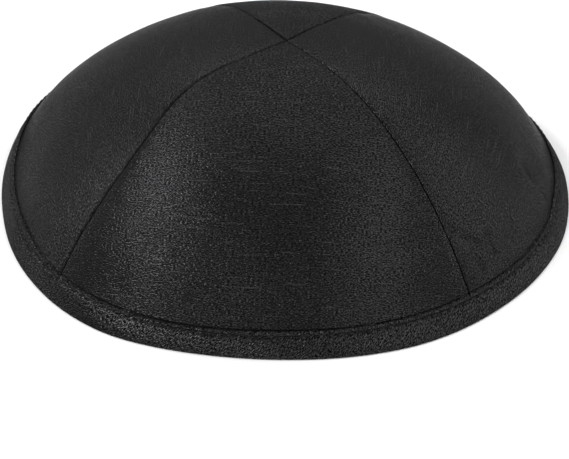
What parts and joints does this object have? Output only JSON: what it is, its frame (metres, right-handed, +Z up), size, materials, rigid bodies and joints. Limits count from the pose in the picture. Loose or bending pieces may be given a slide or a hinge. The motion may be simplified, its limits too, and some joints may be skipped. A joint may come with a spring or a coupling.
{
  "type": "kippah skullcap",
  "caption": "Shallow round skullcap of cloth gores meeting in a point, with a turned and topstitched rim band and a pale ribbed lining.",
  "frame": {"origin": "under the middle of the cap, on the surface that the rim rests on", "axes": "+Z up through the crown, -Y towards the gore that faces the camera, +X to the right of that gore as it is seen from outside"},
  "size_m": [0.1675, 0.1662, 0.0491],
  "materials": {
    "black_cloth": "slubbed plain weave with a soft sheen",
    "lining_cloth": "matt, finely ribbed"
  },
  "bodies": {
    "root": {"panel_front": "black_cloth", "panel_right": "black_cloth", "panel_back": "black_cloth", "panel_left": "black_cloth", "rim_band": "black_cloth", "lining_front": "lining_cloth", "lining_right": "lining_cloth", "lining_back": "lining_cloth", "lining_left": "lining_cloth"}
  },
  "joints": []
}
